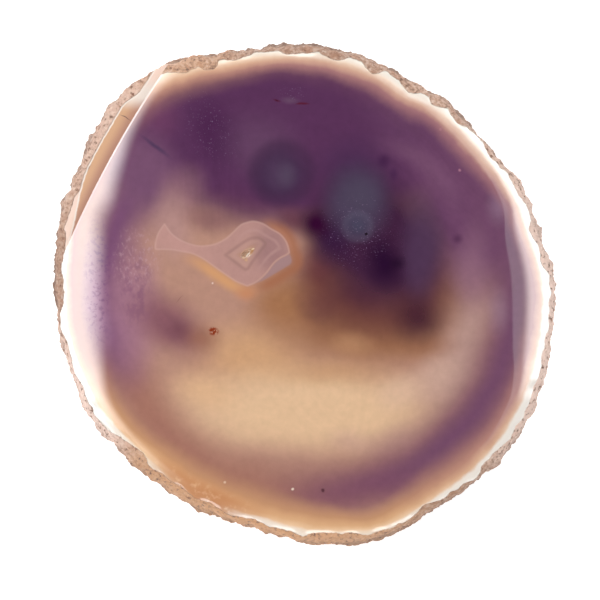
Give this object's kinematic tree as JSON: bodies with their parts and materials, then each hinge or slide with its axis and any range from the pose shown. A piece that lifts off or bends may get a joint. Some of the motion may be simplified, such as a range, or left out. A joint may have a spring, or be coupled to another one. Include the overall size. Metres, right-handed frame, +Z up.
{
  "type": "agate slice",
  "caption": "Polished slice of banded agate with rolled-off polished faces, a rough natural rind round the edge, a low saw step on one shoulder and a tiny quartz pit.",
  "frame": {"origin": "middle of the slice's bounding box in plan, on the surface that its flat underside lies on", "axes": "+Z up through the thickness, out of the polished top; +Y towards the top of the picture; +X towards its right"},
  "size_m": [0.09, 0.0902, 0.008],
  "materials": {
    "banded_agate": "polished faces, rough rind"
  },
  "bodies": {
    "root": {"agate_slice": "banded_agate"}
  },
  "joints": []
}
